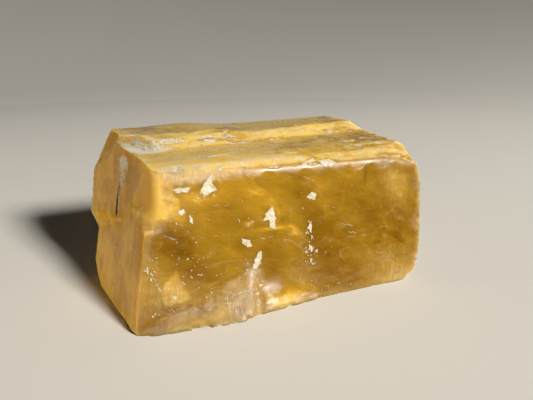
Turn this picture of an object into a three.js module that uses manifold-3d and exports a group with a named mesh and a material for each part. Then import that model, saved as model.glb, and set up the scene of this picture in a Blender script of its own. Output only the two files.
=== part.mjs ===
// Calcite specimen: a hand-sized cleavage block of honey-coloured calcite.
// Millimetres, +Z up. The long lower edge runs along +X and the broad front face looks
// towards -Y. The block rests on its lower cleavage face at z = 0, and the origin is the
// centre of the bounding box at that level.
import * as THREE from 'three';
import { mergeVertices } from 'three/addons/utils/BufferGeometryUtils.js';
import Module from 'manifold-3d';

const wasm = await Module();
wasm.setup();

// ---- driving dimensions -----------------------------------------------------------
const cleavageAngle = THREE.MathUtils.degToRad(78.1); // acute angle of a calcite cleavage face
const longEdge = 73.8;       // along the front lower edge
const shortEdge = 33.2;      // along the left lower edge
const slabHeight = 38.9;     // highest point of the raised back slab
const terraceHeight = 35.9;  // front terrace where it meets the slab
const terraceFront = 34.5;   // front terrace at the bevelled front edge
const bulge = 2.7;           // how far the upper back-left corner stands proud
const toe = 3.4;             // how far the splintered lower front edge stands proud
const farAway = 260;         // size of the cutting blocks, larger than the specimen

// ---- the cleavage lattice ---------------------------------------------------------
// Lower edges meet at the obtuse angle; the rising edge makes the acute angle with both.
const obtuse = Math.PI - cleavageAngle;
const alongLong = new THREE.Vector3(1, 0, 0);
const alongShort = new THREE.Vector3(Math.cos(obtuse), Math.sin(obtuse), 0);
const riseX = Math.cos(cleavageAngle);
const riseY = (Math.cos(cleavageAngle) - riseX * alongShort.x) / alongShort.y;
const riseZ = Math.sqrt(1 - riseX * riseX - riseY * riseY);
const rising = new THREE.Vector3(riseX / riseZ, riseY / riseZ, 1); // per millimetre of height

// Point given by its run along the long edge, its run into the depth and its height.
function at([along, into, height]) {
  return new THREE.Vector3()
    .addScaledVector(alongLong, along)
    .addScaledVector(alongShort, into)
    .addScaledVector(rising, height);
}

const core = at([longEdge / 2, shortEdge / 2, slabHeight / 2]);

// ---- solids -----------------------------------------------------------------------
function solidFrom(geometry) {
  geometry.deleteAttribute('normal');
  geometry.deleteAttribute('uv');
  const welded = mergeVertices(geometry, 1e-4);
  return new wasm.Manifold(new wasm.Mesh({
    numProp: 3,
    vertProperties: new Float32Array(welded.attributes.position.array),
    triVerts: new Uint32Array(welded.index.array),
  }));
}

// Block bounded by cleavage planes, from one lattice corner to the opposite one.
function cleavageBlock(from, to) {
  const outline = new THREE.Shape([
    new THREE.Vector2(from[0], from[1]),
    new THREE.Vector2(to[0], from[1]),
    new THREE.Vector2(to[0], to[1]),
    new THREE.Vector2(from[0], to[1]),
  ]);
  const block = new THREE.ExtrudeGeometry(outline, { depth: to[2] - from[2], bevelEnabled: false });
  block.translate(0, 0, from[2]);
  block.applyMatrix4(new THREE.Matrix4().makeBasis(alongLong, alongShort, rising));
  return solidFrom(block);
}

// Everything beyond the plane through three lattice points, on the side away from the core.
function beyond(points) {
  const [p, q, r] = points.map(at);
  const normal = new THREE.Vector3().crossVectors(q.clone().sub(p), r.clone().sub(p)).normalize();
  if (normal.dot(core.clone().sub(p)) > 0) {
    normal.negate();
  }
  const cutter = new THREE.BoxGeometry(farAway, farAway, farAway);
  cutter.translate(0, 0, farAway / 2);
  cutter.applyQuaternion(new THREE.Quaternion().setFromUnitVectors(new THREE.Vector3(0, 0, 1), normal));
  cutter.translate(p.x, p.y, p.z);
  return solidFrom(cutter);
}

// ---- facets, each as three lattice points -----------------------------------------
const end = longEdge;
const back = shortEdge;
const terrace = [[5, 17, terraceHeight], [end - 6, 17, terraceHeight], [30, 4, terraceFront]];
const slabStepFront = [[5, 12.8, 36], [end - 6.5, 18, 36], [5, 15.4, 38.6]];
const slabStepLeft = [[-1.5, 25, 36], [5, 12.8, 36], [-0.7, 26, 38.6]];
const slabGrooveLeft = [[21, back, slabHeight], [33, back, 37.9], [24, 12, 38.4]];
const slabGrooveRight = [[33, back, 37.9], [62, back, 38.6], [34, 12, 37.8]];
const slabLeftSlope = [[0, back, 38.1], [21, back, slabHeight], [3, 12, 38.1]];

const bevels = {
  frontEdgeLow: [[0, 0, 32.4], [end, 0, 31.4], [35, 1.6, 33.7]],
  frontEdgeHigh: [[0, 1.6, 33.8], [end, 1.6, 33.4], [35, 5, 34.6]],
  rightFrontCorner: [[end - 13, 0, 32.2], [end - 2.8, 0, 29.6], [end - 3.6, 6, 34.6]],
  rightFrontCornerLow: [[end - 3.6, 0, 30.2], [end - 1.5, 0, 24.5], [end - 2.6, 8, 31.5]],
  slabRightEnd: [[end - 7, back, 38.4], [end - 9.3, 15, 38.4], [end - 5, 17, 35.5]],
  rightTopEdge: [[end - 4.6, 11, 35.7], [end - 5, 22, 35.7], [end - 1.6, 13, 27.5]],
  rightFace: [[end, 0, 8], [end, 30, 8], [end - 1.6, 15, 26]],
  rightLowFrontCorner: [[end - 4.2, 0, 0], [end, 0, 3.4], [end, 5, 0]],
  backTopEdge: [[20, back, 36.9], [60, back, 36.9], [30, back - 1.4, 38.7]],
  backRightEdge: [[end - 2.2, back, 10], [end - 3.2, back, 30], [end, back - 3, 12]],
  backLowEdge: [[10, back, 1.6], [60, back, 1.2], [30, back - 1.5, 0]],
  leftLowBackCorner: [[0, 25.5, 0], [0, back, 4.6], [3.4, back, 0]],
  leftLowEdge: [[0.6, 12, 0], [0, 6, 0.9], [0, 20, 0.8]],
  leftLowFrontCorner: [[1.3, 0, 0], [0, 1.6, 0], [0, 0, 2.4]],
};

const overhang = {
  leftFace: [[-2.4, back, 17], [-bulge, back, 28], [0, 13, 22]],
  leftShoulder: [[-2.6, back, 28.5], [0.9, back, 38.3], [-0.9, 21, 35.8]],
  underside: [[-2.4, back, 17.4], [0, 33, 13.2], [0, 18, 18.5]],
};

const toeFaces = {
  leftSlope: [[0, -1.3, 0], [14, -2.3, 0], [6, 0, 5.8]],
  middleSlope: [[14, -2.2, 0], [24, -toe, 0], [18, 0, 7.6]],
  rightSlope: [[24.4, -toe, 0], [29.6, -0.9, 0], [27.8, 0, 7]],
};
const skirtSlope = [[26, -1.6, 0], [47, 0, 0], [33, 0, 5.5]];

const leftCornerFacet = [[0, 10.5, 24], [0, 4.6, 32.5], [2.1, 0, 24]];
const leftCornerFloor = [[0, 10.5, 24], [0.6, 0, 22.2], [2.6, 3, 27.5]];
const leftCornerRounding = [[3.4, 0, 24], [2.2, 0, 32.5], [1.86, 1.18, 24]];
const leftRoundingFloor = [[0, 6, 23], [6, 0, 22.4], [0, 0, 20.5]];

// ---- the specimen -----------------------------------------------------------------
let specimen = cleavageBlock([0, 0, 0], [end, back, slabHeight]);

// the upper back-left corner stands proud of the left end face
let overhangBlock = cleavageBlock([-bulge - 1, 10, 12], [6, back, slabHeight]);
for (const face of Object.values(overhang)) {
  overhangBlock = overhangBlock.subtract(beyond(face));
}
specimen = specimen.add(overhangBlock);

// splintered lamellae stand proud along the lower front edge
let toeBlock = cleavageBlock([0, -toe, 0], [30, 2, 10]);
for (const face of Object.values(toeFaces)) {
  toeBlock = toeBlock.subtract(beyond(face));
}
const skirt = cleavageBlock([20, -2, 0], [48, 2, 6]).subtract(beyond(skirtSlope));
specimen = specimen.add(toeBlock).add(skirt);

// the front part of the top has cleaved away to a lower, gently sloping terrace
specimen = specimen.subtract(beyond(terrace).intersect(beyond(slabStepFront)));
specimen = specimen.subtract(beyond(terrace).intersect(beyond(slabStepLeft)));
specimen = specimen.subtract(beyond(slabGrooveLeft).intersect(beyond(slabGrooveRight)));
specimen = specimen.subtract(beyond(slabLeftSlope));
specimen = specimen.subtract(beyond(overhang.leftShoulder));

// worn and broken edges
for (const face of Object.values(bevels)) {
  specimen = specimen.subtract(beyond(face));
}

// facet broken off the upper left corner, its front edge rounded over
specimen = specimen.subtract(beyond(leftCornerFacet).intersect(beyond(leftCornerFloor)));
specimen = specimen.subtract(beyond(leftCornerRounding).intersect(beyond(leftRoundingFloor)));

// ---- mesh, centred over its own footprint -----------------------------------------
const cut = specimen.getMesh();
const indexed = new THREE.BufferGeometry();
indexed.setAttribute('position', new THREE.BufferAttribute(new Float32Array(cut.vertProperties), 3));
indexed.setIndex(new THREE.BufferAttribute(new Uint32Array(cut.triVerts), 1));
const shape = indexed.toNonIndexed();
shape.computeBoundingBox();
const middle = shape.boundingBox.getCenter(new THREE.Vector3());
shape.translate(-middle.x, -middle.y, -shape.boundingBox.min.z);
shape.computeVertexNormals();

const honeyCalcite = new THREE.MeshStandardMaterial({ color: '#b0832f', roughness: 0.25, metalness: 0 });
const crystal = new THREE.Mesh(shape, honeyCalcite);
crystal.name = 'calcite_crystal';

const specimenGroup = new THREE.Group();
specimenGroup.name = 'calcite_specimen';
specimenGroup.add(crystal);

export default specimenGroup;
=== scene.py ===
import math
import random

import bmesh
import bpy
import numpy as np
from mathutils import Matrix, Vector, bvhtree, geometry, kdtree, noise


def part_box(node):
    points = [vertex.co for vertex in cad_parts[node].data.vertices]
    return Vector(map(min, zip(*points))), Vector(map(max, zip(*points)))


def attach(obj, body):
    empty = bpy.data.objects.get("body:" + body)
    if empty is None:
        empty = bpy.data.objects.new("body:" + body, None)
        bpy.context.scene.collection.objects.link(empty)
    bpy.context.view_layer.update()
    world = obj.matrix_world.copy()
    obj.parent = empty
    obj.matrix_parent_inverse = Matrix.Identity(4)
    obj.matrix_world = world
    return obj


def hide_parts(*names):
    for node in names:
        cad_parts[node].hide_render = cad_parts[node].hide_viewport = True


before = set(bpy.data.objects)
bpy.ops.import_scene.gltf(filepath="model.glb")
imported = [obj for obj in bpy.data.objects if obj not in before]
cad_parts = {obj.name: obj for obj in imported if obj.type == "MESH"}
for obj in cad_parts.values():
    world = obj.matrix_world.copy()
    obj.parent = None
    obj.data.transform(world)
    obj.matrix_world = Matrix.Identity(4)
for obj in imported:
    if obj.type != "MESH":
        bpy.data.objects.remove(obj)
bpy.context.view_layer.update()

millimetre = 0.001
random.seed(41)

# the cleavage lattice that every face, step and chip of the block follows
lattice = {
    "acuteAngle": 78.1,  # degrees
    "longEdge": 73.8,  # millimetres, along the front foot
    "shortEdge": 33.2,  # along the left foot
    "topLevel": 36.0,
    "footFromBox": (5.84, 3.33),  # near lower corner, from the corner of the box
}

acute = math.radians(lattice["acuteAngle"])
alongEdge = Vector((1, 0, 0))
intoEdge = Vector((-math.cos(acute), math.sin(acute), 0))
riseX = math.cos(acute)
riseY = (math.cos(acute) - riseX * intoEdge.x) / intoEdge.y
riseZ = math.sqrt(1 - riseX ** 2 - riseY ** 2)
riseEdge = Vector((riseX / riseZ, riseY / riseZ, 1))  # per millimetre of height
upNormal = Vector((0, 0, 1))
frontNormal = alongEdge.cross(riseEdge).normalized()
leftNormal = riseEdge.cross(intoEdge).normalized()

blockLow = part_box("calcite_crystal")[0]
foot = Vector((blockLow.x, blockLow.y, 0)) + Vector((*lattice["footFromBox"], 0)) * millimetre


def at(along, into, height):  # lattice place in millimetres -> point in the frame, in metres
    return foot + (alongEdge * along + intoEdge * into + riseEdge * height) * millimetre


class Wire:  # a shader socket that can be added, subtracted and multiplied
    nodes = None
    links = None

    def __init__(self, socket):
        self.socket = socket

    @classmethod
    def node(cls, kind, settings=None, values=None, out=0):
        made = cls.nodes.new(kind)
        for name, value in (settings or {}).items():
            if name == "stops":
                ramp = made.color_ramp
                while len(ramp.elements) < len(value):
                    ramp.elements.new(0.5)
                for element, (place, colour) in zip(ramp.elements, value):
                    element.position = place
                    element.color = (*colour, 1)
            else:
                setattr(made, name, value)
        for name, value in (values or {}).items():
            if isinstance(value, Wire):
                cls.links.new(value.socket, made.inputs[name])
            else:
                made.inputs[name].default_value = value
        return Wire(made.outputs[out])

    @classmethod
    def maths(cls, operation, a, b=0.0):
        return cls.node("ShaderNodeMath", {"operation": operation}, {0: a, 1: b})

    def __add__(self, other):
        return Wire.maths("ADD", self, other)

    def __sub__(self, other):
        return Wire.maths("SUBTRACT", self, other)

    def __mul__(self, other):
        return Wire.maths("MULTIPLY", self, other)

    def __rsub__(self, other):
        return Wire.maths("SUBTRACT", other, self)

    __radd__ = __add__
    __rmul__ = __mul__

    def clamp(self):
        return Wire.node("ShaderNodeClamp", None, {"Value": self})


def startMaterial(name):
    finish = bpy.data.materials.new(name)
    finish.use_nodes = True
    Wire.nodes, Wire.links = finish.node_tree.nodes, finish.node_tree.links
    return finish, finish.node_tree.nodes["Principled BSDF"]


def vectorMaths(operation, a, b=(0, 0, 0), scale=1.0, out=0):
    values = {0: a, 1: b, 3: scale}
    return Wire.node("ShaderNodeVectorMath", {"operation": operation}, values, out)


def objectMillimetres():
    place = Wire.node("ShaderNodeTexCoord", out="Object")
    return vectorMaths("SCALE", place, scale=1 / millimetre)


def dot(a, b):
    return vectorMaths("DOT_PRODUCT", a, tuple(b), out="Value")


def joined(x, y, z):
    return Wire.node("ShaderNodeCombineXYZ", None, {0: x, 1: y, 2: z})


def grain(place, scale, detail=2.0, roughness=0.5, warp=0.0):
    values = {"Vector": place, "Scale": scale, "Detail": detail, "Roughness": roughness}
    return Wire.node("ShaderNodeTexNoise", None, {**values, "Distortion": warp})


def ease(value, low, high):  # 0 below low, 1 above high, smooth between
    values = {"Value": value, "From Min": low, "From Max": high}
    return Wire.node("ShaderNodeMapRange", {"interpolation_type": "SMOOTHSTEP"}, values)


def blend(share, a, b):  # colour a, going over to colour b
    return Wire.node("ShaderNodeMix", {"data_type": "RGBA"}, {0: share, 6: a, 7: b}, out=2)


def field(name):  # a value painted on the points of the block
    return Wire.node("ShaderNodeAttribute", {"attribute_name": name}, out="Fac")


cameraSettings = {
    "place": (-0.0413, -0.1055, 0.0565),
    "turn": -22.4,
    "dip": 17.6,
    "lens": 30.4,
}


def placeCamera(settings):
    turn, dip = math.radians(settings["turn"]), math.radians(settings["dip"])
    look = Vector((-math.sin(turn) * math.cos(dip), math.cos(turn) * math.cos(dip), -math.sin(dip)))
    data = bpy.data.cameras.new("camera")
    data.sensor_width = 36
    data.lens = settings["lens"]
    data.clip_start = 0.005
    camera = bpy.data.objects.new("camera", data)
    camera.location = settings["place"]
    camera.rotation_euler = look.to_track_quat("-Z", "Y").to_euler()
    bpy.context.scene.collection.objects.link(camera)
    bpy.context.scene.camera = camera


placeCamera(cameraSettings)

lightSettings = {
    "keyLight": {
        "place": (0.98, -1.82, 1.20),
        "size": 0.48,
        "power": 27.5,
        "spread": 110,
        "colour": (1.0, 0.965, 0.91),
        "shines": True,
    },
    "fillLight": {
        "place": (-0.75, 0.07, 0.030),
        "size": 0.03,
        "power": 0.021,
        "spread": 20,
        "colour": (1.0, 0.86, 0.60),
        "shines": False,
    },
    "backFillLight": {
        "place": (-0.50, 0.55, 0.030),
        "size": 0.03,
        "power": 0.011,
        "spread": 20,
        "colour": (1.0, 0.92, 0.78),
        "shines": False,
    },
}
roomGrey = 0.006


def placeLight(name, settings):
    data = bpy.data.lights.new(name, "AREA")
    data.shape = "DISK"
    data.size = settings["size"]
    data.energy = settings["power"]
    data.color = settings["colour"]
    data.spread = math.radians(settings["spread"])
    light = bpy.data.objects.new(name, data)
    light.location = settings["place"]
    light.rotation_euler = (-Vector(settings["place"])).to_track_quat("-Z", "Y").to_euler()
    light.visible_camera = False
    light.visible_glossy = settings["shines"]
    bpy.context.scene.collection.objects.link(light)


for lightName, settings in lightSettings.items():
    placeLight(lightName, settings)
world = bpy.data.worlds.new("room")
world.use_nodes = True
backdrop = world.node_tree.nodes["Background"]
backdrop.inputs["Color"].default_value = (roomGrey, roomGrey, roomGrey, 1)
bpy.context.scene.world = world
bpy.context.scene.view_settings.view_transform = "Standard"

stageSettings = {
    "table": 0.56,
    "radius": 0.55,  # where the floor starts to sweep up
    "sweep": 2.2,
    "wall": 2.6,
    "sides": 96,
    "sweepSteps": 24,
    "colour": (0.86, 0.83, 0.765, 1),
    # painted shade: the paper is painted darker towards the key light, to hold down the bright pool
    # of light the lamp throws there
    "shadeTowardsKey": (0.30, 0.285, 0.26, 1),  # towards the key light, behind the viewer
    "dimFrom": 0.45,
    "dimTo": 1.5,
    "roughness": 0.9,
    "specular": 0.04,
}


def meshObject(name, bm):
    mesh = bpy.data.meshes.new(name)
    bm.to_mesh(mesh)
    bm.free()
    piece = bpy.data.objects.new(name, mesh)
    bpy.context.scene.collection.objects.link(piece)
    return piece


def sweepWall(name, settings, startTurn):
    # half of a wide bowl: the floor sweeps up into a wall, with no corner
    bm = bmesh.new()
    profile = [bm.verts.new((settings["radius"], 0, 0))]
    for step in range(1, settings["sweepSteps"] + 1):
        turn = math.radians(90 * step / settings["sweepSteps"])
        out = settings["radius"] + settings["sweep"] * math.sin(turn)
        profile.append(bm.verts.new((out, 0, settings["sweep"] * (1 - math.cos(turn)))))
    profile.append(bm.verts.new((settings["radius"] + settings["sweep"], 0, settings["wall"])))
    edges = [bm.edges.new(pair) for pair in zip(profile, profile[1:])]
    bmesh.ops.rotate(bm, verts=profile, matrix=Matrix.Rotation(math.radians(startTurn), 3, "Z"))
    halfTurn = {"angle": math.pi, "steps": settings["sides"] // 2}
    bmesh.ops.spin(bm, geom=profile + edges, cent=(0, 0, 0), axis=(0, 0, 1), **halfTurn)
    bmesh.ops.recalc_face_normals(bm, faces=bm.faces)
    wall = meshObject(name, bm)
    wall.data.shade_smooth()
    wall.visible_diffuse = False  # it throws no light back into the shadow
    return wall


def layStage(settings):
    bm = bmesh.new()
    bmesh.ops.create_circle(bm, cap_ends=True, segments=settings["sides"], radius=settings["table"])
    table = meshObject("table", bm)
    backWall = sweepWall("backWall", settings, cameraSettings["turn"])
    frontWall = sweepWall("frontWall", settings, cameraSettings["turn"] + 180)
    frontWall.visible_glossy = False
    finish, shader = startMaterial("palePaper")
    towardsKey = Vector((*lightSettings["keyLight"]["place"][:2], 0)).normalized()
    place = Wire.node("ShaderNodeTexCoord", out="Object")
    # painted shade: darker paper towards the key light, in place of the bright pool the lamp makes
    # there
    dim = ease(dot(place, towardsKey), settings["dimFrom"], settings["dimTo"])
    colour = blend(dim, settings["colour"], settings["shadeTowardsKey"])
    Wire.links.new(colour.socket, shader.inputs["Base Color"])
    shader.inputs["Roughness"].default_value = settings["roughness"]
    shader.inputs["Specular IOR Level"].default_value = settings["specular"]
    for piece in (table, backWall, frontWall):
        piece.data.materials.append(finish)


layStage(stageSettings)
print("stage laid")

# the block starts as the frame's solid, with chips broken out along the cleavage
chipSettings = {
    "tilt": 5,  # most degrees that a chip leans off the lattice
    "shallowest": 0.35,  # share of the deepest
    "shortest": 0.2,  # share of the longest
    "edges": {
        # start, end, how many, longest and deepest in millimetres
        "slabFront": ((3, 15.4, 38.4), (63, 18, 38.4), 13, 7, 0.7),
        "slabFoot": ((8, 13.2, 36.2), (62, 17.2, 36.6), 5, 16, 0.35),
        "slabBack": ((2, 33, 38.1), (66, 33, 38.2), 14, 8, 0.9),
        "slabRight": ((64, 16, 38.2), (66.5, 32, 38.2), 4, 5, 0.8),
        "frontTop": ((2, 0.5, 33.1), (60, 0.5, 32.4), 6, 3, 0.3),
        "terraceFront": ((8, 4.6, 34.7), (62, 4.6, 34.5), 6, 15, 0.25),
        "frontFoot": ((30, -0.8, 0), (71, 0, 0), 9, 5, 0.35),
        "toeFoot": ((7, -1.6, 0), (23, -3.2, 0), 6, 3, 0.45),
        "leftRise": ((0.2, 0.2, 5), (0.4, 0.4, 20), 4, 2.5, 0.3),
        "rightRise": ((73.4, 0, 4), (71, 0, 29), 5, 4, 0.35),
        "rightCorner": ((61, 0.3, 32.2), (70.5, 0.3, 30), 6, 3.5, 0.5),
        "rightTop": ((70.2, 4, 34.4), (67.8, 15, 35.8), 6, 4.5, 0.6),
        "leftTop": ((-0.5, 22, 36), (0.6, 6, 34.2), 4, 4, 0.35),
        "leftFoot": ((0, 3, 0), (0, 25, 0), 7, 4, 0.6),
        "backLeftRise": ((-2.4, 33, 19), (-1, 33, 35), 6, 4, 0.7),
        "backLeftFoot": ((0, 33, 4), (-0.4, 33, 14), 4, 4, 0.6),
        "backRightRise": ((72.5, 33, 4), (68.5, 33, 34), 9, 5, 0.9),
        "rightFoot": ((73.8, 6, 0.4), (73.8, 31, 0.4), 8, 5, 0.8),
        "backFoot": ((4, 33, 1.5), (70, 33, 1.3), 14, 7, 0.9),
    },
}


def chipBlock(bm, centre, size, turn):
    # one small cleavage block, lying on the lattice apart from a slight turn
    basis = Matrix((alongEdge, intoEdge, riseEdge.normalized())).transposed().to_4x4()
    scale = Matrix.Diagonal((*[side * millimetre for side in size], 1))
    place = Matrix.Translation(centre) @ Matrix.Rotation(turn, 4, frontNormal) @ basis @ scale
    bmesh.ops.create_cube(bm, size=1, matrix=place)


def chipCutters(settings):
    bm = bmesh.new()
    shallowest, shortest = settings["shallowest"], settings["shortest"]
    for start, end, howMany, longest, deepest in settings["edges"].values():
        span = [high - low for low, high in zip(start, end)]
        lead = max(range(3), key=lambda axis: abs(span[axis]))
        for _ in range(howMany):  # most chips are small, a few are large
            share = random.random()
            centre = at(*[low + share * step for low, step in zip(start, span)])
            depth = deepest * (shallowest + (1 - shallowest) * random.random() ** 1.6)
            size = [2 * depth * random.uniform(0.6, 1.1) for _ in range(3)]
            size[lead] = longest * (shortest + (1 - shortest) * random.random() ** 1.8)
            tilt = random.uniform(-settings["tilt"], settings["tilt"])
            chipBlock(bm, centre, size, math.radians(tilt))
    bmesh.ops.recalc_face_normals(bm, faces=bm.faces)
    return meshObject("chipCutters", bm)


def evaluatedMesh(piece):
    bpy.context.view_layer.update()
    seen = piece.evaluated_get(bpy.context.evaluated_depsgraph_get())
    return bpy.data.meshes.new_from_object(seen)


def roughOut(settings):
    bm = bmesh.new()
    bm.from_mesh(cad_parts["calcite_crystal"].data)
    bmesh.ops.remove_doubles(bm, verts=bm.verts, dist=1e-6)
    bmesh.ops.dissolve_limit(bm, angle_limit=math.radians(0.5), verts=bm.verts, edges=bm.edges)
    block = meshObject("honeyBlock", bm)
    cutters = chipCutters(settings)
    breakOut = block.modifiers.new("breakOut", "BOOLEAN")
    breakOut.operation = "DIFFERENCE"
    breakOut.solver = "EXACT"
    breakOut.use_self = True
    breakOut.object = cutters
    broken = evaluatedMesh(block)
    block.modifiers.clear()
    block.data = broken
    bpy.data.objects.remove(cutters)
    return block


block = roughOut(chipSettings)
print("chips broken out:", len(block.data.polygons), "faces")

resurfacing = {
    "octreeDepth": 8,
    "scale": 0.78,
    "leastAngle": 24,  # degrees: a sharper fold counts as an edge that wears
    "edgeSpacing": 0.3,  # millimetres between the points kept along those edges
}


def sharpEdgeTree(mesh, spacing, leastAngle):
    bm = bmesh.new()
    bm.from_mesh(mesh)
    points = []
    for edge in bm.edges:
        if len(edge.link_faces) == 2 and edge.calc_face_angle(0) > leastAngle:
            a, b = edge.verts[0].co, edge.verts[1].co
            steps = max(1, int((b - a).length / spacing))
            points += [a.lerp(b, i / steps) for i in range(steps + 1)]
    bm.free()
    tree = kdtree.KDTree(len(points))
    for i, point in enumerate(points):
        tree.insert(point, i)
    tree.balance()
    return tree


def resurface(piece, settings):
    remesh = piece.modifiers.new("resurface", "REMESH")
    remesh.mode = "SHARP"
    remesh.octree_depth = settings["octreeDepth"]
    remesh.scale = settings["scale"]
    remesh.use_smooth_shade = False
    finer = evaluatedMesh(piece)
    piece.modifiers.clear()
    piece.data = finer
    return finer


edgeSpacing = resurfacing["edgeSpacing"] * millimetre
edgeTree = sharpEdgeTree(block.data, edgeSpacing, math.radians(resurfacing["leastAngle"]))
fine = resurface(block, resurfacing)
print("resurfaced:", len(fine.vertices), "vertices", len(fine.polygons), "faces")

# relief in the faces: cleavage terraces, worn edges, ridges on the left end
reliefSettings = {
    # lengths in millimetres; terraces as size along, size across, share of cells, depth
    "terraces": ((15, 6, 0.30, 0.16), (6, 2.6, 0.20, 0.11), (2.6, 1.2, 0.16, 0.07)),
    "terraceStrength": {"front": 0.35, "top": 0.9, "left": 0.35, "right": 1.1, "back": 1.0},
    "swell": 0.16,  # broad unevenness of every face
    "ridge": 0.16,  # upright ridges on the left end
    "wear": (0.15, 0.85),  # least and most width of the wear along an edge
    "satin": 3.6,  # how far the satin look reaches in from an edge
    "crackDepth": 0.55,
    "sharpFold": 38,  # degrees
    # how far the splintered toe stands proud along the foot, and where its brow stays crisp
    "toeFoot": ((0, 14, 24, 30, 47), (1.3, 2.3, 3.4, 1.5, 0.1)),
    "toeCrisp": (17, 25),
    # edges rounded by handling: start, end, reach in millimetres, passes
    "handled": (
        ((0, 0.6, 33.4), (73, 0.6, 32.4), 2.6, 12),
        ((0, 0, 1), (0, 0, 22), 1.6, 6),
        ((0, 5.0, 23.6), (7, 0, 22.4), 4.2, 45),
        ((0, -1.2, 0), (0, 0, 6), 3.0, 10),
        ((2.4, 0.6, 22), (2.2, 0.6, 33), 2.4, 14),
        ((27.8, 0, 9), (24.6, -3.4, 0), 2.8, 24),
        ((2, 16, 38), (60, 18, 38), 1.6, 3),
    ),
    "allOver": 1,  # passes over the whole block
}


def roundHandledEdges(mesh, settings):
    bm = bmesh.new()
    bm.from_mesh(mesh)
    byAxis = {"use_axis_x": True, "use_axis_y": True, "use_axis_z": True}
    for _ in range(settings["allOver"]):
        bmesh.ops.smooth_vert(bm, verts=bm.verts, factor=0.5, **byAxis)
    for start, end, reach, passes in settings["handled"]:
        a, b = at(*start), at(*end)
        verts = []
        for vert in bm.verts:
            nearest, share = geometry.intersect_point_line(vert.co, a, b)
            within = (vert.co - nearest).length < reach * millimetre
            if within and -0.02 < share < 1.02:
                verts.append(vert)
        for _ in range(passes):
            bmesh.ops.smooth_vert(bm, verts=verts, factor=0.5, **byAxis)
    bm.to_mesh(mesh)
    bm.free()


roundHandledEdges(fine, reliefSettings)


def perPoint(values, attribute):  # one vector for each point of the block
    flat = np.zeros(len(values) * 3, np.float32)
    values.foreach_get(attribute, flat)
    return flat.reshape(-1, 3).astype(float)


def rampUp(values, start, width):  # 0 below start, 1 beyond start + width
    return np.clip((values - start) / width, 0, 1)


def noiseField(points, scale, seed):
    offset = Vector((seed * 7.3, seed * 3.1, seed * 5.7))
    return np.array([noise.noise(Vector(p) * scale + offset) for p in points])


count = len(fine.vertices)
coords = perPoint(fine.vertices, "co")
normals = perPoint(fine.vertex_normals, "vector")
local = (coords - np.array(foot)) / millimetre
height = local[:, 2]
into = (local[:, 1] - riseEdge.y * height) / intoEdge.y
along = local[:, 0] - intoEdge.x * into - riseEdge.x * height
facing = {
    "front": normals @ np.array(frontNormal),
    "left": normals @ np.array(leftNormal),
    "top": normals[:, 2],
}
facing["back"] = -facing["front"]
facing["right"] = -facing["left"]
broad = noiseField(local, 0.09, 1)
middle = noiseField(local, 0.28, 2)
small = noiseField(local, 0.9, 3)


def faceCoords(face):  # the two in-face directions of a face, in millimetres
    if face in ("front", "back"):
        return local[:, 0], height
    if face in ("left", "right"):
        return into, height
    return along, into


def cellDraw(u, v, seed):  # one steady random number for each cell
    mixed = np.sin(u * 127.1 + v * 311.7 + seed * 74.7) * 43758.5453
    return mixed - np.floor(mixed)


def softenedToe(settings):
    # how far each point is drawn in, so that the toe runs out smoothly towards the left
    proud = np.clip(-into, 0, None)
    toeFoot = np.interp(along, *settings["toeFoot"])
    crispFrom, crispTo = settings["toeCrisp"]
    softened = 1 - rampUp(along, crispFrom, crispTo - crispFrom)
    return softened * proud * (1 - np.clip(proud / toeFoot, 0, 1))


def terraceSteps(settings):
    # flat steps a fraction of a millimetre deep, in cells that follow the cleavage
    steps = np.zeros(count)
    for index, (face, strength) in enumerate(settings["terraceStrength"].items()):
        here = rampUp(facing[face], 0.75, 0.15) * strength
        u, v = faceCoords(face)
        for level, (sizeU, sizeV, share, depth) in enumerate(settings["terraces"]):
            cellU = np.floor((u + 3.0 * broad + 0.8 * middle) / sizeU + 0.37 * index)
            cellV = np.floor((v + 1.6 * middle + 0.3 * small) / sizeV + 0.61 * level)
            draw = cellDraw(cellU, cellV, index * 5 + level)
            steps += here * depth * np.where(draw < share, 0.4 + draw / share * 0.6, 0)
    return steps


def leftRidges(settings):
    ridgePoints = np.stack([into * 0.30, height * 0.035, np.zeros(count)], 1)
    return settings["ridge"] * rampUp(facing["left"], 0.7, 0.2) * noiseField(ridgePoints, 1.0, 6)


def edgeWear(tree):
    # for each point, the gap to the nearest sharp edge and how bruised that stretch is
    gaps = np.zeros(count)
    bruising = np.zeros(count)
    for i, point in enumerate(coords):
        nearest, _, gap = tree.find(point)
        gaps[i] = gap / millimetre
        if gaps[i] < 3:
            spot = (nearest - foot) / millimetre
            patches = noise.noise(spot * 0.42 + Vector((11, 5, 2)))
            bruising[i] = patches + 0.5 * noise.noise(spot * 1.3)
    return gaps, bruising


coords += softenedToe(reliefSettings)[:, None] * np.array(intoEdge) * millimetre
push = reliefSettings["swell"] * broad + leftRidges(reliefSettings) - terraceSteps(reliefSettings)
edgeGap, edgeBruising = edgeWear(edgeTree)
leastWear, mostWear = reliefSettings["wear"]
wearWidth = leastWear + mostWear * np.clip(edgeBruising - 0.05, 0, 1) ** 1.3
worn = np.clip(1 - edgeGap / wearWidth, 0, 1)
push -= 0.5 * worn * wearWidth * (1 + 0.5 * small)
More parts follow.
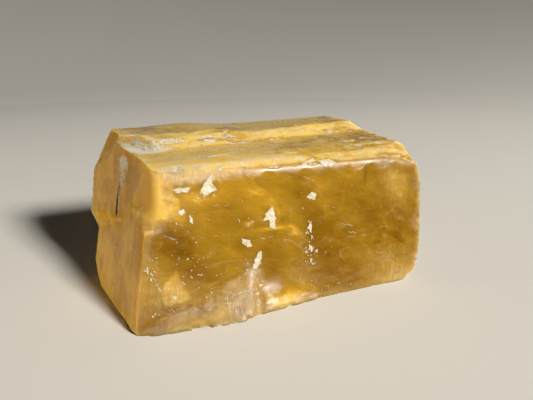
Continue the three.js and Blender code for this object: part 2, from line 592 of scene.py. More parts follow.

# fields painted on the block: tone of the honey with some painted light and shade, milky veils,
# white frost and dark soot
paintSettings = {
    # soft spots: face, middle in the face, reach both ways, turn in degrees, amount
    "tone": (
        # painted shade: a darker patch below the corner facet, where a recess would lie in shade
        ("front", 10, 19, 5.6, 3.6, -10, -0.35),
        ("front", 5, 3.5, 5.5, 4.5, 0, -0.45),
        ("front", 9.5, 9.5, 5, 3.6, 35, 0.12),
        ("front", 15, 1, 6, 3, -8, 0.15),
        ("front", 15, 11, 6.5, 2.6, -25, -0.45),
        ("front", 22, 27, 17, 7, 0, 0.34),
        ("front", 38, 27, 12, 6, -20, 0.32),
        ("front", 8.5, 27, 6, 6, 0, 0.05),
        ("front", 2.6, 28, 2.6, 6.5, 0, -0.30),
        # painted shade under the ledge of the corner facet, hiding its lit edge
        ("front", 3, 22.6, 4, 1.4, 0, -0.35),
        ("front", 47, 10, 7, 12, 25, -0.75),
        ("front", 66, 13, 12, 9, 10, -0.45),
        ("front", 52, 20, 12, 7, -20, 0.08),
        ("front", 63, 28, 8, 4, 0, 0.32),
        ("front", 57, 4, 13, 3.2, 6, -0.1),
        ("front", 35, 1.5, 6, 1.6, 8, 0.75),
        ("front", 31, 10, 8, 4, -12, -0.30),
        # painted highlight: a small bright gold spot for a sparkle of light inside the block
        ("front", 27.9, 20, 1.2, 0.6, 0, 1.3),
        ("front", 33.5, 18.2, 4.8, 0.5, -2, 1.1),
        ("front", 39.3, 16.8, 1.6, 0.9, -40, 0.8),
        ("front", 60.4, 28, 0.35, 2.2, -12, -0.7),
        ("front", 53.9, 15.2, 1.2, 1, 0, -0.5),
        ("left", 17, 19, 1.6, 6, 6, -0.45),
        ("left", 9.5, 28, 2.4, 5, 0, -0.25),
        # painted light: the facet at the top of the left end is painted lighter, as if it caught
        # the light
        ("left", 3.5, 28.5, 4, 5.5, 0, 0.2),
        ("left", 33, 20, 2.5, 12, 0, -0.10),
        ("left", 3, 8, 4, 7, 0, 0.10),
        ("front", 12, 37.6, 14, 1.3, 0, -0.45),
        ("top", 14, 26, 18, 7, 0, -0.35),
        ("top", 36, 27, 10, 4, 8, 0.75),
        ("top", 56, 26, 12, 7, 0, 0.05),
        ("top", 40, 8, 7, 8, -20, -0.55),
        ("top", 62, 12, 9, 5, 0, -0.15),
        ("top", 67, 4, 6, 6, 0, -0.55),
        ("front", 68.5, 31, 6, 3, -20, -0.45),
        ("front", 12, 2, 14, 3, 0, -0.22),
        ("right", 20, 24, 8, 6, 0, 0.45),
        ("right", 8, 7, 6, 5, 0, -0.4),
        ("right", 17, 13, 4, 3, 30, -0.35),
        ("back", 40, 25, 15, 6, 0, 0.4),
        ("back", 14, 9, 10, 8, 0, -0.4),
        ("back", 60, 25, 6, 8, 25, -0.35),
    ),
    "veil": (
        ("front", 24, 2.6, 4.8, 5, -10, 0.12),
        ("front", 18, 1.6, 2.6, 4.2, 0, 0.30),
        ("front", 31.5, 2.2, 2, 2.6, 0, 0.3),
        ("front", 69.5, 26, 3.5, 5.5, 0, 0.45),
        ("front", 68, 2.5, 6, 3.5, 0, 0.55),
        ("front", 8.6, 6, 5.5, 5, 20, 0.35),
        ("front", 4.5, 9.5, 3, 7, 15, 0.15),
        ("front", 14.5, 33.4, 7.5, 1.7, 0, 1),
        ("front", 15.5, 31.6, 6, 1.5, 0, 0.85),
        ("front", 12.2, 27, 3, 4.5, 10, 0.42),
        ("front", 7.3, 28, 1, 6, -8, 0.45),
        ("top", 1.5, 15, 5, 11, 10, 1.5),
        ("top", 9, 4.6, 7.5, 4.2, 0, 0.85),
        ("top", 24, 7, 8.5, 7.5, 0, 0.95),
        ("top", 52, 8, 16, 6, 0, 0.35),
        ("right", 9, 20, 6, 8, 20, 0.7),
        ("right", 25, 9, 6, 7, -10, 0.6),
        ("back", 20, 20, 14, 8, -20, 0.7),
        ("back", 56, 12, 14, 7, 15, 0.7),
        ("back", 44, 33, 20, 3, 0, 0.6),
        ("top", 56, 30, 9, 6, 0, 0.7),
        ("top", 18, 29, 12, 4, 0, 0.55),
        ("left", 14.5, 29, 4.4, 5.5, 8, 0.9),
        ("left", 11.5, 14, 3, 5.5, -12, 0.9),
        ("left", 29, 28, 3.5, 8, 0, 0.35),
        ("left", 5, 7, 3.5, 7, -20, 0.55),
        ("left", 1.4, 12, 1.2, 9, -6, 0.5),
    ),
    "frost": (
        ("top", 1.2, 15, 4, 8.5, 12, 0.66),
        ("top", 6.5, 12.2, 6.5, 2.2, 0, 0.62),
        ("front", 16.5, 33.2, 5.5, 0.8, 0, 0.55),
        ("left", 15.5, 32.8, 4, 1.6, 0, 0.58),
        ("left", 16, 28.8, 2.6, 5.4, 6, 0.70),
        ("front", 71, 2, 3.5, 2, 10, 0.5),
        ("front", 27.9, 3.6, 0.8, 3.8, 0, 0.42),
        ("front", 24.5, 5.6, 3.6, 1.1, 0, 0.55),
        ("front", 26.8, 1, 2, 3, 0, 0.36),
    ),
    "soot": (
        ("left", 17.4, 22, 0.42, 2.3, 2, 1.8),
        ("left", 16.8, 27, 1.4, 3.6, 6, 0.62),
        ("left", 13.4, 13, 0.9, 3, 10, 0.42),
    ),
    # patches with a crisp edge: face, softness, amount, corners
    "tonePatches": (
        ("front", 0.7, 0.55, (
            (4.6, 24.2), (8, 22.5), (13.2, 21.5), (14.4, 23.6), (12.6, 28), (11.4, 32.4),
            (6.2, 32.6))),
        # painted shade: the darker patch under the corner facet, standing in for a shaded recess
        ("front", 1.2, -0.42, (
            (5.8, 22.4), (13, 20.9), (15.6, 17.6), (14.5, 13.6), (9, 14.4), (4.8, 16.4))),
        ("front", 0.5, 0.6, ((10.1, 12.5), (8.3, 11.3), (6.4, 8.3), (7, 5), (13.5, 5.4))),
        ("front", 0.5, -0.45, (
            (20.1, 4.1), (21.6, 5.4), (25.4, 6.8), (27.2, 6.7), (28, -1.5), (18.9, -1.7),
            (18, 0.5))),
        # painted light: the corner facet on the left end painted lighter, as if lit
        ("left", 0.35, 0.34, ((10.5, 24), (4.6, 32.8), (-4, 33.5), (-4, 21), (0.6, 22.2))),
        ("left", 0.6, -0.30, ((15, 33), (13.5, 24), (10.8, 24), (5.2, 32.6))),
        ("left", 0.8, -0.16, ((10.5, 23.6), (0.4, 21.8), (-1.5, 12), (6, 8), (11, 14))),
        ("front", 0.6, -0.16, ((52, 17.8), (56.6, 16), (54.8, 11), (50.4, 13))),
        ("front", 1.6, -0.26, ((38.5, 31), (43.5, 31.5), (52, 14), (47, 6), (42, 14))),
        ("front", 2.2, -0.18, ((56, 24), (71, 22), (72, 5), (60, 7))),
    ),
    "veilPatches": (
        ("front", 0.4, 0.34, (
            (20.1, 4.1), (21.6, 5.4), (25.4, 6.8), (26.9, 6.7), (28.5, 1.4), (27.7, -1.5),
            (18.9, -1.7), (18, 0.5))),
        ("front", 0.6, 0.4, ((10.1, 12.5), (8.3, 11.3), (6.4, 8.3), (7, 5), (13.5, 5.4))),
        ("front", 0.4, 0.7, ((30.7, 4.9), (29.6, 1.6), (33.6, 1.3))),
        ("front", 0.4, 0.6, ((9.3, 33.4), (20.4, 33.6), (19.6, 32.2), (10.2, 31.8))),
    ),
    "sideways": 0.35,  # the paint fades out as a face turns this far aside
    "crackSharpness": 1.2,
}


def paintPatches(patches):
    painted = np.zeros(count)
    for face, softness, amount, corners in patches:
        u, v = faceCoords(face)
        u, v = u + 0.5 * middle, v + 0.5 * small
        inside = np.full(count, np.inf)
        midU, midV = np.mean(corners, axis=0)
        for (u0, v0), (u1, v1) in zip(corners, corners[1:] + corners[:1]):
            length = math.hypot(u1 - u0, v1 - v0)
            acrossU, acrossV = (v0 - v1) / length, (u1 - u0) / length
            sign = math.copysign(1, (midU - u0) * acrossU + (midV - v0) * acrossV)
            inside = np.minimum(inside, sign * ((u - u0) * acrossU + (v - v0) * acrossV))
        here = rampUp(facing[face], paintSettings["sideways"], 0.3)
        painted += here * amount * np.clip(inside / softness, 0, 1)
    return painted


def paintSpots(spots, sharpness=1.0):
    painted = np.zeros(count)
    for face, u0, v0, reachU, reachV, turn, amount in spots:
        u, v = faceCoords(face)
        du, dv = u - u0, v - v0
        c, s = math.cos(math.radians(turn)), math.sin(math.radians(turn))
        away = ((du * c + dv * s) / reachU) ** 2 + ((dv * c - du * s) / reachV) ** 2
        here = rampUp(facing[face], paintSettings["sideways"], 0.3)
        painted += here * amount * np.exp(-away * sharpness)
    return painted


def paintedFields(settings, satinReach):
    tone = paintSpots(settings["tone"]) + paintPatches(settings["tonePatches"])
    veil = paintSpots(settings["veil"]) + paintPatches(settings["veilPatches"])
    bruise = 0.8 * np.clip(1.6 * worn, 0, 1) * np.clip(edgeBruising * 1.6 + 0.30, 0, 1)
    frost = np.maximum(bruise, paintSpots(settings["frost"]))
    satin = np.clip(1 - edgeGap / (satinReach * (1 + 0.8 * middle)), 0, 1) ** 2
    return {
        "tone": np.clip(tone, -1, 1.4),
        "veil": np.clip(veil, 0, 1.3),
        "frost": np.clip(frost, 0, 1),
        "soot": np.clip(paintSpots(settings["soot"]), 0, 1.2),
        "satin": satin,
    }


painted = paintedFields(paintSettings, reliefSettings["satin"])
for fieldName, values in painted.items():
    layer = fine.attributes.new(fieldName, "FLOAT", "POINT")
    layer.data.foreach_set("value", values.astype(np.float32))

# the first soot spot is an open crack
crack = paintSpots(paintSettings["soot"][:1], paintSettings["crackSharpness"])
push -= reliefSettings["crackDepth"] * np.clip(crack - 0.5, 0, 1)
push += 0.05 * small * painted["frost"]
coords += normals * push[:, None] * millimetre
coords[:, 2] = np.maximum(coords[:, 2], 0)  # nothing below the resting face
fine.vertices.foreach_set("co", coords.astype(np.float32).ravel())
fine.update()
fine.shade_smooth()
fine.set_sharp_from_angle(angle=math.radians(reliefSettings["sharpFold"]))
print("relief worked in")

honeyFinish = {
    "honey": (
        (0.00, (0.190, 0.082, 0.003)),
        (0.28, (0.285, 0.140, 0.006)),
        (0.50, (0.370, 0.206, 0.012)),
        (0.75, (0.520, 0.285, 0.016)),
        (1.00, (0.860, 0.560, 0.075)),
    ),
    "milk": (0.75, 0.54, 0.22, 1),
    # painted glow: a warmer amber laid over the left end, standing in for light passing through the
    # block
    "leftGlowAmber": (0.64, 0.29, 0.010, 1),
    "frost": (0.78, 0.71, 0.56, 1),
    "soot": (0.010, 0.008, 0.006, 1),
    "faceLean": (0.55, 0.85),  # a normal this square to a face starts, or fully counts, as on it
    "gloss": 0.09,  # roughness of a clean cleavage face
    "veilRoughness": 0.30,
    "frostRoughness": 0.4,
    "brokenRoughness": 0.50,
    "sideRoughness": 0.38,
    "satinRoughness": 0.42,
    "reliefStrength": 0.22,
    "reliefHeight": 0.00025,
    "ior": 1.6,
    "glowDepth": 0.005,
    "glowColour": (1.0, 0.95, 0.8),
    "clearness": 0.07,
    "bodyColour": (0.96, 0.78, 0.05, 1),
    "bodyDensity": 110.0,
    "grains": {  # scale, detail, roughness, warp
        "cloud": (0.055, 3, 0.55, 0.6),
        "mottle": (0.19, 4, 0.6, 0.5),
        "haze": (0.42, 5, 0.7, 0.8),
        "fleck": (1.5, 3, 0.6, 0.5),
        "speckle": (2.3, 4, 0.75),
    },
    "tone": {  # where the honey sits between its colours, and what moves it from there
        "middle": 0.50,
        "painted": 0.42,
        "cloud": 0.75,
        "mottle": 0.45,
        "fibre": 0.5,
        "flow": 0.3,
        "planes": 0.2,
        # painted light: the top and the left end are moved up the ramp, standing in for the sheen
        # on the top and the glow of light through the shaded left end
        "top": 0.50,
        "topCloud": 0.9,
        "left": 0.34,
        "endCombed": 0.8,
        "endCloud": 0.5,
    },
    "veilShare": 0.85,  # how much of the colour each layer hides at its strongest
    "fleckShare": 0.5,
    "frostShare": 0.85,
    "sootShare": 0.92,
}


def threads(place, scale, low, high, detail=2.0, warp=0.0):
    # thin bright lines where the noise crosses its middle
    level = grain(place, scale, detail, 0.5, warp)
    return 1 - ease(Wire.maths("ABSOLUTE", level - 0.5), low, high)


class Grains:  # the noises that more than one layer of the honey finish uses
    def __init__(self, settings):
        sizes = settings["grains"]
        self.place = objectMillimetres()
        self.across = dot(self.place, frontNormal)
        self.side = dot(self.place, leftNormal)
        self.up = dot(self.place, upNormal)
        self.lengthwise = dot(self.place, alongEdge)
        self.slant = self.up * 0.83 + self.lengthwise * 0.5
        self.crossSlant = self.lengthwise * 0.83 - self.up * 0.5
        self.cloud = grain(self.place, *sizes["cloud"])
        self.mottle = grain(self.place, *sizes["mottle"])
        self.haze = grain(self.place, *sizes["haze"])
        self.fleck = grain(self.place, *sizes["fleck"])
        self.speckle = grain(self.place, *sizes["speckle"])
        flowPlace = joined(self.up * 0.5, self.lengthwise * 0.11, self.across * 0.5)
        self.flow = grain(flowPlace, 1.0, 4, 0.6, 0.9)
        combedPlace = joined(self.across * 0.34 + self.mottle, self.up * 0.09, self.side * 0.3)
        self.combed = grain(combedPlace, 1.0, 4, 0.6, 1.0)


class Turned:  # which way the surface looks, each from 0 to 1
    def __init__(self, settings):
        lean = settings["faceLean"]
        outwards = Wire.node("ShaderNodeNewGeometry", out="Normal")
        endOn = dot(outwards, leftNormal)
        self.top = ease(dot(outwards, upNormal), *lean)
        self.left = ease(endOn, *lean)
        self.front = ease(dot(outwards, frontNormal), *lean)
        self.end = ease(Wire.maths("ABSOLUTE", endOn), *lean)
        squareness = 0.0
        for direction in (frontNormal, leftNormal, upNormal):
            aligned = Wire.maths("ABSOLUTE", dot(outwards, direction))
            squareness = Wire.maths("MAXIMUM", squareness, aligned)
        self.broken = 1 - ease(squareness, 0.90, 0.985)  # breaks and worn edges


def innerPlanes(g):  # flat-sided cells, as cleavage planes deep in the block
    bent = joined(
        g.side * 0.10 + g.mottle * 0.8,
        g.slant * 0.16 + g.mottle * 0.5,
        g.across * 0.14,
    )
    cells = {"feature": "F1", "distance": "CHEBYCHEV"}
    plane = Wire.node("ShaderNodeTexVoronoi", cells, {"Vector": bent, "Scale": 1.0}, "Color")
    return dot(plane, (0.5, 0.3, 0.2))


def honeyColour(g, turned, planes, settings):
    # slow clouds, slanting fibres and inner cleavage planes give the honey its depth
    fibre = grain(joined(g.slant * 0.75, g.crossSlant * 0.14, g.across * 0.3), 1.0, 5, 0.7, 0.6)
    layers = {"cloud": g.cloud, "mottle": g.mottle, "fibre": fibre, "flow": g.flow}
    share = settings["tone"]
    tone = share["middle"] + share["painted"] * field("tone")
    for name, layer in {**layers, "planes": planes}.items():
        tone = tone + share[name] * (layer - 0.5)
    # painted light: the top and the left end are painted lighter, for the sheen on the top and the
    # glow of light passing through the block into the shaded end
    tone = tone + (share["top"] + share["topCloud"] * (g.cloud - 0.5)) * turned.top
    tone = tone + share["left"] * turned.left
    atEnd = share["endCombed"] * (g.combed - 0.5) + share["endCloud"] * (g.cloud - 0.5)
    tone = tone + atEnd * turned.end
    honey = Wire.node("ShaderNodeValToRGB", {"stops": settings["honey"]}, {"Fac": tone})
    # painted glow: the left end is blended towards the warmer amber
    return blend(0.5 * turned.left, honey, settings["leftGlowAmber"])


def milkyVeil(g, turned, layers, sheets):
    # streaked along the cleavage, cloudy elsewhere
    streaks = 0.45 * ease(layers, 0.42, 0.66) + 0.25 * ease(sheets, 0.45, 0.66)
    streaks = streaks + 0.6 * ease(g.haze, 0.4, 0.7)
    drifts = 0.3 * ease(g.haze, 0.52, 0.74) * ease(g.cloud, 0.42, 0.6)
    # the left end gets less milk, so that its painted amber glow stays warm
    veil = (field("veil") * (0.25 + 0.85 * streaks) + drifts) * (1 - 0.5 * turned.left)
    veil = veil + turned.top * 0.7 * ease(g.flow + 0.4 * (g.haze - 0.5), 0.44, 0.62)
    veil = veil + 0.4 * turned.end * ease(g.combed, 0.48, 0.66) * ease(g.haze, 0.4, 0.6)
    return (veil + 0.14 * turned.broken * ease(g.haze, 0.35, 0.65)).clamp()


def healedCracks(g):
    hairs = threads(joined(g.slant * 0.9 + g.haze, g.crossSlant * 0.16, g.across * 0.4),
                    0.9, 0.004, 0.02, 3, 0.8)
    return hairs * ease(g.haze, 0.52, 0.66) * ease(g.mottle, 0.52, 0.66)


# painted highlight: thin bright streaks, strongest on the top, painted into the colour as glints of
# reflected light
def paintedGlints(g, turned):
    lines = threads(joined(g.up * 0.8 + g.mottle * 2, g.lengthwise * 0.12, g.across * 0.8),
                    1.0, 0.003, 0.022, 2, 0.4)
    lines = lines * ease(g.flow, 0.42, 0.56) * (0.35 + 0.65 * turned.top)
    return 0.8 * lines * (0.15 + 0.85 * turned.top)


def whiteFlecks(g):
    return ease(g.fleck, 0.655, 0.72) * ease(g.mottle + 0.5 * (g.haze - 0.5), 0.48, 0.62)


def bruiseFrost(g):
    brushedPlace = joined(g.up * 0.9 + g.mottle, g.lengthwise * 0.22, g.across * 1.1)
    brushed = grain(brushedPlace, 1.0, 4, 0.7, 0.5)
    return ease(field("frost") + 1.3 * (brushed - 0.5) + 0.9 * (g.speckle - 0.5), 0.5, 0.72)


def honeyMaterial(settings):
    finish, shader = startMaterial("honeyCalcite")
    g, turned = Grains(settings), Turned(settings)
    planes = innerPlanes(g)
    layersPlace = joined(g.side * 1.7 + g.mottle, g.lengthwise * 0.06, g.up * 0.16)
    sheetsPlace = joined(g.up * 1.3 + g.mottle * 2, g.lengthwise * 0.07, g.across * 0.25)
    layers, sheets = (grain(where, 1.0, 3, 0.6, 0.3) for where in (layersPlace, sheetsPlace))
    veil = milkyVeil(g, turned, layers, sheets)
    hairs = healedCracks(g)
    frost = bruiseFrost(g)
    soot = ease(field("soot") + 0.9 * (g.speckle - 0.5), 0.5, 0.68)

    colour = honeyColour(g, turned, planes, settings)
    colour = blend(veil * settings["veilShare"], colour, settings["milk"])
    # healed hair cracks, and the painted highlight streaks, laid on in the frost colour
    colour = blend((0.32 * hairs + paintedGlints(g, turned)).clamp(), colour, settings["frost"])
    colour = blend(whiteFlecks(g) * settings["fleckShare"], colour, settings["frost"])
    colour = blend(frost * settings["frostShare"], colour, settings["frost"])
    colour = blend(soot * settings["sootShare"], colour, settings["soot"])

    relief = 0.5 * planes + 0.2 * layers + 0.2 * sheets + 0.5 * frost * g.speckle
    relief = relief + 0.35 * g.mottle + 0.3 * hairs
    bump = Wire.node("ShaderNodeBump", None, {
        "Strength": settings["reliefStrength"],
        "Distance": settings["reliefHeight"],
        "Height": relief,
    })
    uneven = 0.7 + 0.5 * ease(g.haze, 0.4, 0.6)
    roughness = settings["gloss"] + settings["veilRoughness"] * veil
    roughness = roughness + settings["frostRoughness"] * frost
    roughness = roughness + settings["brokenRoughness"] * turned.broken * uneven
    roughness = roughness + settings["sideRoughness"] * (1 - turned.front) * (1 - turned.top)
    roughness = roughness + settings["satinRoughness"] * field("satin")
    Wire.links.new(colour.socket, shader.inputs["Base Color"])
    Wire.links.new(roughness.socket, shader.inputs["Roughness"])
    Wire.links.new(bump.socket, shader.inputs["Normal"])
    shader.inputs["IOR"].default_value = settings["ior"]
    shader.inputs["Subsurface Weight"].default_value = 1.0
    shader.inputs["Subsurface Radius"].default_value = settings["glowColour"]
    shader.inputs["Subsurface Scale"].default_value = settings["glowDepth"]
    shader.inputs["Transmission Weight"].default_value = settings["clearness"]
    body = Wire.nodes.new("ShaderNodeVolumeAbsorption")
    body.inputs["Color"].default_value = settings["bodyColour"]
    body.inputs["Density"].default_value = settings["bodyDensity"]
    Wire.links.new(body.outputs[0], Wire.nodes["Material Output"].inputs["Volume"])
    return finish


block.data.materials.clear()
block.data.materials.append(honeyMaterial(honeyFinish))
print("honey finish on")

# small frosty flakes that have half lifted off the faces, hair cracks and loose crumbs
flakeFinish = {
    # face, thickness, outline in the face
    "shards": (
        ("front", 0.16, (
            (20.2, 31.6), (20.4, 29.4), (21.2, 28.2), (18.5, 27.2), (17.2, 28), (18.1, 29.4),
            (19.4, 31))),
        ("front", 0.10, ((11.4, 29.2), (12.6, 29.5), (15.6, 29.4), (14.6, 28.3), (12.3, 28.3))),
        ("front", 0.12, (
            (34, 23), (34.7, 20.4), (34.2, 17.9), (32.9, 18.3), (32.9, 20.2), (31.4, 20.1),
            (32.3, 21.8))),
        ("front", 0.12, ((25.8, 17), (27.7, 16.3), (28, 14.9), (27, 14.6), (25.9, 15.7))),
        ("front", 0.14, (
            (28.4, 9.4), (27.6, 9.9), (28.2, 11.4), (29.4, 13.3), (30.2, 13.4), (30, 11.6),
            (29.2, 10.2))),
        ("front", 0.10, ((43.2, 24.2), (44.5, 25.3), (45.8, 24.7), (45.4, 23.3), (44.1, 23.6))),
        ("front", 0.08, ((43.8, 18.5), (43.5, 15.7), (42.5, 17.1))),
        ("front", 0.08, ((42.6, 13.2), (43.5, 12.4), (43.1, 11.2), (42.2, 12))),
        ("front", 0.08, ((43.4, 15.3), (44, 14.6), (43.2, 14.1))),
        ("front", 0.08, ((42.3, 10.1), (43.2, 9.6), (42.7, 8.6))),
        ("front", 0.07, ((12, 24.7), (13.3, 25), (13.7, 24.1), (12.7, 23.6))),
        ("front", 0.07, ((14.3, 23.4), (15.3, 22.8), (14.9, 21.6), (14.3, 22))),
        ("front", 0.16, ((47.2, 32.4), (50.3, 32.6), (52.2, 31.5), (50.3, 30.6), (48.2, 31.1))),
        ("front", 0.08, ((42.6, 32.2), (44, 32.6), (44.4, 31.9), (43, 31.6))),
        ("front", 0.08, ((14.6, 10.7), (15.9, 10.6), (15.6, 10.1))),
        ("front", 0.08, ((8.9, 7.3), (9.6, 7), (9.4, 6.3), (8.8, 6.5))),
        ("front", 0.10, ((10, 33.2), (12.4, 33.6), (15.2, 33.3), (13, 32.6))),
        ("front", 0.10, ((15.8, 33.5), (18.6, 33.6), (17.6, 33))),
        ("front", 0.08, ((21.4, 33), (22.6, 33.3), (23, 32.4), (22, 32.2))),
        ("front", 0.08, ((41.8, 15.8), (42.4, 16.6), (42.9, 15.6))),
        ("front", 0.08, ((41.2, 11.4), (41.8, 12), (42.2, 11.2))),
        ("front", 0.08, ((43.9, 11.2), (44.6, 11.8), (44.8, 10.9))),
        ("top", 0.12, ((1.6, 19), (2.8, 18.6), (4.2, 14.6), (3.2, 13.2), (1.9, 15.4))),
        ("top", 0.10, ((4.6, 15.2), (6.4, 13), (5.6, 11.6), (4.2, 13.4))),
        ("top", 0.14, ((6, 13.3), (9, 13.5), (13.5, 14.3), (10.5, 14.9), (7, 14.4))),
        ("top", 0.12, ((16, 14.6), (20, 14.7), (22, 15.3), (18.5, 15.5))),
        ("top", 0.12, ((23.5, 15), (27, 15.3), (25, 15.9))),
        ("top", 0.10, ((9, 4.2), (14, 4), (17.5, 4.8), (13, 5.3))),
        ("top", 0.12, ((52, 8), (57.5, 8.7), (57, 7.9), (54, 7.4))),
        ("top", 0.10, ((59.8, 9.6), (61.6, 10.4), (62, 9.4))),
        ("top", 0.10, ((26.5, 13.2), (29.8, 14), (29.4, 13.2))),
        ("back", 0.14, (
            (22, 24), (23.2, 25.6), (24.6, 24.8), (25.2, 22), (24, 20.8), (22.7, 21.9))),
        ("back", 0.12, ((55, 12), (56.4, 13.6), (57.8, 13), (57.2, 11.4), (56, 10.6))),
        ("back", 0.10, ((40.6, 16.2), (42.4, 16.6), (43, 15.4), (41.4, 15))),
        ("back", 0.10, ((33, 29), (36.4, 29.4), (38.6, 28.6), (35, 28.3))),
        ("right", 0.12, (
            (9.2, 20.4), (10.2, 21.4), (11, 23.4), (12, 22.6), (12.6, 20.6), (11, 19.6))),
        ("right", 0.10, ((20.8, 8.6), (21.6, 10.2), (23, 9.6), (22.9, 7.8), (21.9, 7.2))),
        ("right", 0.09, ((15, 14), (16.2, 14.9), (16.9, 13.6), (15.8, 12.9))),
        ("right", 0.09, ((25.2, 19.4), (26.4, 20.6), (27.2, 19.8), (26.1, 18.6))),
    ),
    # face, width, line in the face
    "hairs": (
        ("front", 0.20, ((52.6, 16.7), (55.2, 15.8), (54.9, 14.2))),
        ("front", 0.16, ((53.3, 13.6), (55.6, 13.2), (58.6, 13))),
        ("front", 0.14, ((53.8, 14.6), (56, 14), (57.4, 12.2))),
        ("front", 0.16, ((30.1, 13.4), (30.1, 11), (28.3, 8.7), (26.2, 9.1))),
        ("front", 0.14, ((43, 29), (44.8, 28.2), (46.6, 27))),
        ("front", 0.20, ((65.1, 8.9), (66, 7.4), (67.1, 6))),
        ("front", 0.16, ((67.6, 9.4), (68.2, 7.2), (68, 5.4))),
        ("front", 0.42, ((4, 16), (4.4, 12.8), (5.7, 10.7), (6.5, 8.5))),
        ("front", 0.16, ((11.6, 4.3), (14, 3.4), (17.1, 2.9))),
        ("front", 0.16, ((35.2, 17.8), (37.4, 16.3), (39.8, 15.4), (41.2, 14.2))),
        ("front", 0.12, ((36, 15.2), (38.4, 14.4), (40.6, 12.2))),
        ("front", 0.12, ((29.4, 16.8), (31.2, 16.2), (33.4, 16.5))),
        ("front", 0.12, ((57.2, 11.4), (60.6, 9), (63.6, 7.8))),
        ("front", 0.12, ((20.2, 25), (22.4, 24.5), (24, 24.9))),
        ("front", 0.12, ((16.3, 18.4), (18, 17.9), (20.6, 18.3))),
        ("front", 0.16, ((20.6, 5.2), (20.8, 2.6), (21.2, -0.6))),
        ("front", 0.14, ((22, 5.8), (22.1, 2.6), (22.3, 0.2))),
        ("front", 0.18, ((23.4, 6.2), (23.3, 3.2), (23.6, -1))),
        ("front", 0.14, ((24.7, 6.6), (24.8, 3.8), (25.2, 0.4))),
        ("front", 0.14, ((26, 6.4), (26.2, 3.4), (26.5, 0.8))),
        ("front", 0.16, ((20.2, 3.3), (23.4, 3.7), (27, 3.5))),
        ("front", 0.14, ((20.8, 1.6), (24, 2.1), (26.6, 1.9))),
        ("front", 0.16, ((21.2, 4.6), (23.8, 5.2), (26.6, 5.1))),
        ("front", 0.14, ((20, 4.2), (21.6, 5.6), (24.4, 6.8))),
        ("front", 0.14, ((26.8, 7), (27.6, 4.6), (28.2, 1.8))),
        ("top", 0.40, ((8, 13.8), (14, 14), (20.5, 14.7))),
        ("top", 0.16, ((22, 15), (27, 15.3))),
        ("top", 0.14, ((34.9, 16.8), (41, 18.2), (47.5, 19.9))),
        ("top", 0.30, ((31.5, 15.9), (40, 17), (52, 17.8))),
        ("left", 0.18, ((17.2, 33), (16.4, 30), (16.8, 27))),
        ("left", 0.14, ((13.6, 33), (13, 30.4), (13.5, 28.2))),
        ("back", 0.16, ((34, 12), (40, 14.5), (44, 14))),
        ("back", 0.14, ((12, 30), (20, 30.8), (29, 30.2))),
        ("right", 0.14, ((8, 12), (14, 13), (19, 12.4))),
    ),
    # face, middle, reach, how many
    "crumbs": (
        ("front", (43, 12), (1.8, 5), 34),
        ("front", (41.5, 9.5), (2.4, 2.6), 12),
        ("top", (3, 15), (3, 5), 24),
        ("front", (27.9, 20), (1.8, 1), 12),
        ("front", (28, 9), (3.5, 2.5), 9),
        ("front", (15, 9), (8, 4.5), 34),
        ("front", (12.5, 20), (3, 6), 16),
        ("front", (5, 12), (1.2, 4), 26),
        ("front", (26.3, 10.8), (0.9, 2.2), 12),
        ("front", (8, 3.9), (6, 0.7), 16),
        ("front", (15, 14), (5, 2), 14),
        ("front", (22, 32), (16, 1), 22),
        ("top", (10, 14), (9, 1.6), 20),
        ("front", (45, 2.2), (18, 1.2), 14),
        ("front", (40, 20), (22, 9), 16),
        ("front", (67, 6), (4, 4), 9),
        ("top", (40, 8), (26, 6), 22),
        ("left", (16, 29), (3, 4.5), 9),
        ("left", (14, 12), (9, 9), 7),
        ("back", (36, 18), (28, 12), 40),
        ("back", (24, 22), (4, 4), 20),
        ("right", (16, 16), (10, 10), 26),
        ("right", (22, 8), (3, 3), 14),
    ),
    "crumbSize": (0.09, 0.30),
    "dropFrom": 9,  # millimetres off the face, on to which each flake is dropped
    "leastFacing": 0.5,  # how squarely the surface there must look along the face
    "lift": 0.02,
    "sunk": 0.05,  # how deep the underside of a shard goes
    "ragged": 0.22,
    "hairPiece": 1.1,
    "hairGaps": 0.3,  # share of the pieces left out
    "hairWander": 0.2,
    "white": (
        (0.00, (0.34, 0.20, 0.03)),
        (0.32, (0.50, 0.38, 0.17)),
        (0.55, (0.62, 0.55, 0.40)),
        (1.00, (0.80, 0.75, 0.62)),
    ),
    "gloss": 0.34,
    "spotRoughness": 0.3,
    "reliefStrength": 0.4,
    "reliefHeight": 0.00012,
    "ior": 1.6,
}
outward = {
    "front": frontNormal,
    "back": -frontNormal,
    "left": leftNormal,
    "right": -leftNormal,
    "top": upNormal,
}


def seat(tree, face, u, v, lift, settings):
    # a place in the face, dropped onto the broken surface; none if it would hang in the air
    if face in ("front", "back"):
        place = at(u - riseEdge.x * v, 0 if face == "front" else lattice["shortEdge"], v)
    elif face in ("left", "right"):
        place = at(0 if face == "left" else lattice["longEdge"], u, v)
    else:
        place = at(u, v, lattice["topLevel"])
    away = outward[face]
    hit, normal = tree.ray_cast(place + away * settings["dropFrom"] * millimetre, -away)[:2]
    if hit is None or normal.dot(away) < settings["leastFacing"]:
        return None
    return hit + away * lift * millimetre


def bmVerts(items):
    return [item for item in items if isinstance(item, bmesh.types.BMVert)]


def once(items):  # each item one time, in a steady order
    return list(dict.fromkeys(items))


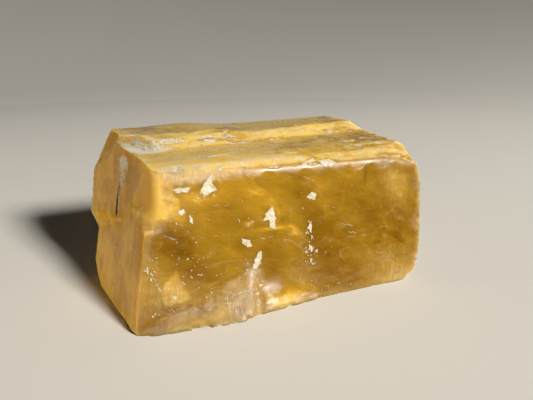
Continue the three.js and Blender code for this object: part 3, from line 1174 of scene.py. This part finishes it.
def addShard(bm, tree, face, thickness, outline, settings):
    away, sunk = outward[face], settings["sunk"]
    corners = [seat(tree, face, u, v, 0, settings) for u, v in outline]
    made = bm.faces.new([bm.verts.new(corner) for corner in corners if corner])
    cut = bmesh.ops.subdivide_edges(bm, edges=made.edges[:], cuts=4)
    for vert in bmVerts(cut["geom_inner"]):  # the thin edge has broken away unevenly
        inward = vert.co - made.calc_center_median()
        vert.co -= inward.normalized() * settings["ragged"] * random.uniform(-0.8, 1.2) * millimetre
    faces = bmesh.ops.triangulate(bm, faces=[made])["faces"]
    edges = once(edge for part in faces for edge in part.edges if not edge.is_boundary)
    cut = bmesh.ops.subdivide_edges(bm, edges=edges, cuts=1)
    verts = [vert for part in faces if part.is_valid for vert in part.verts]
    verts = once(verts + bmVerts(cut["geom"]))
    faces = once(part for vert in verts for part in vert.link_faces)
    for vert in verts:  # laid over the surface, then thickened outwards
        hit = tree.ray_cast(vert.co + away * 4 * millimetre, -away)[0]
        if hit:
            vert.co = hit + away * (settings["lift"] - sunk) * millimetre
    raised = bmesh.ops.extrude_face_region(bm, geom=faces, use_keep_orig=True)["geom"]
    for vert in bmVerts(raised):
        vert.co += away * (sunk + thickness * random.uniform(0.2, 1.1)) * millimetre


def addHair(bm, tree, face, width, line, settings):
    wander = settings["hairWander"]
    for start, end in zip(line, line[1:]):
        pieces = max(1, round(math.dist(start, end) / settings["hairPiece"]))
        for step in range(pieces):
            if random.random() < settings["hairGaps"]:
                continue
            ends = []
            for share in (step / pieces, (step + 0.94) / pieces):
                u = start[0] + (end[0] - start[0]) * share + random.uniform(-wander, wander)
                v = start[1] + (end[1] - start[1]) * share + random.uniform(-wander, wander)
                ends.append(seat(tree, face, u, v, settings["lift"], settings))
            if None in ends:
                continue
            run = ends[1] - ends[0]
            turn = run.to_track_quat("X", "Z").to_matrix().to_4x4()
            across = width * random.uniform(0.2, 1.1) * millimetre
            place = Matrix.Translation((ends[0] + ends[1]) / 2)
            size = Matrix.Diagonal((run.length, across, 0.6 * across, 1))
            bmesh.ops.create_cube(bm, size=1, matrix=place @ turn @ size)


def addCrumb(bm, tree, face, middle, reach, settings):
    u, v = (random.gauss(mid, wide / 2) for mid, wide in zip(middle, reach))
    spot = seat(tree, face, u, v, settings["lift"], settings)
    if spot is None:
        return
    least, most = settings["crumbSize"]
    size = least + (most - least) * random.random() ** 2.5
    long, tall = size * random.uniform(0.7, 1.8), size * random.uniform(0.4, 0.9)
    stretch = Matrix.Diagonal((long, size, tall, 1)) @ Matrix.Scale(millimetre, 4)
    turn = Matrix.Rotation(random.uniform(0, math.tau), 4, outward[face])
    place = Matrix.Translation(spot) @ turn @ stretch
    made = bmesh.ops.create_icosphere(bm, subdivisions=1, radius=1, matrix=place)
    for vert in made["verts"]:
        vert.co += Vector([random.uniform(-0.25, 0.25) * size * millimetre for _ in range(3)])


def flakeMaterial(settings):
    finish, shader = startMaterial("frostWhite")
    place = objectMillimetres()
    steep = dot(place, (0.8, 0.3, 0.9))
    lines = grain(joined(steep * 1.6, dot(place, alongEdge) * 0.5, 0.0), 1.0, 4, 0.7, 0.8)
    spots = grain(place, 3.4, 4, 0.7)
    tone = 0.5 + 1.5 * (lines - 0.5) + 1.2 * (spots - 0.5)
    colour = Wire.node("ShaderNodeValToRGB", {"stops": settings["white"]}, {"Fac": tone})
    roughness = settings["gloss"] + settings["spotRoughness"] * spots
    bump = Wire.node("ShaderNodeBump", None, {
        "Strength": settings["reliefStrength"],
        "Distance": settings["reliefHeight"],
        "Height": spots + lines,
    })
    Wire.links.new(colour.socket, shader.inputs["Base Color"])
    Wire.links.new(roughness.socket, shader.inputs["Roughness"])
    Wire.links.new(bump.socket, shader.inputs["Normal"])
    shader.inputs["IOR"].default_value = settings["ior"]
    return finish


def liftFlakes(settings):
    bm = bmesh.new()
    bm.from_mesh(block.data)
    tree = bvhtree.BVHTree.FromBMesh(bm)
    bm.clear()
    for face, thickness, outline in settings["shards"]:
        addShard(bm, tree, face, thickness, outline, settings)
    for face, width, line in settings["hairs"]:
        addHair(bm, tree, face, width, line, settings)
    for face, middle, reach, howMany in settings["crumbs"]:
        for _ in range(howMany):
            addCrumb(bm, tree, face, middle, reach, settings)
    bmesh.ops.recalc_face_normals(bm, faces=bm.faces)
    flakes = meshObject("frostFlakes", bm)
    flakes.data.materials.append(flakeMaterial(settings))
    return flakes


flakes = liftFlakes(flakeFinish)
print("flakes lifted:", len(flakes.data.polygons), "faces")

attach(flakes, "root")
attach(block, "root")
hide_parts("calcite_crystal")
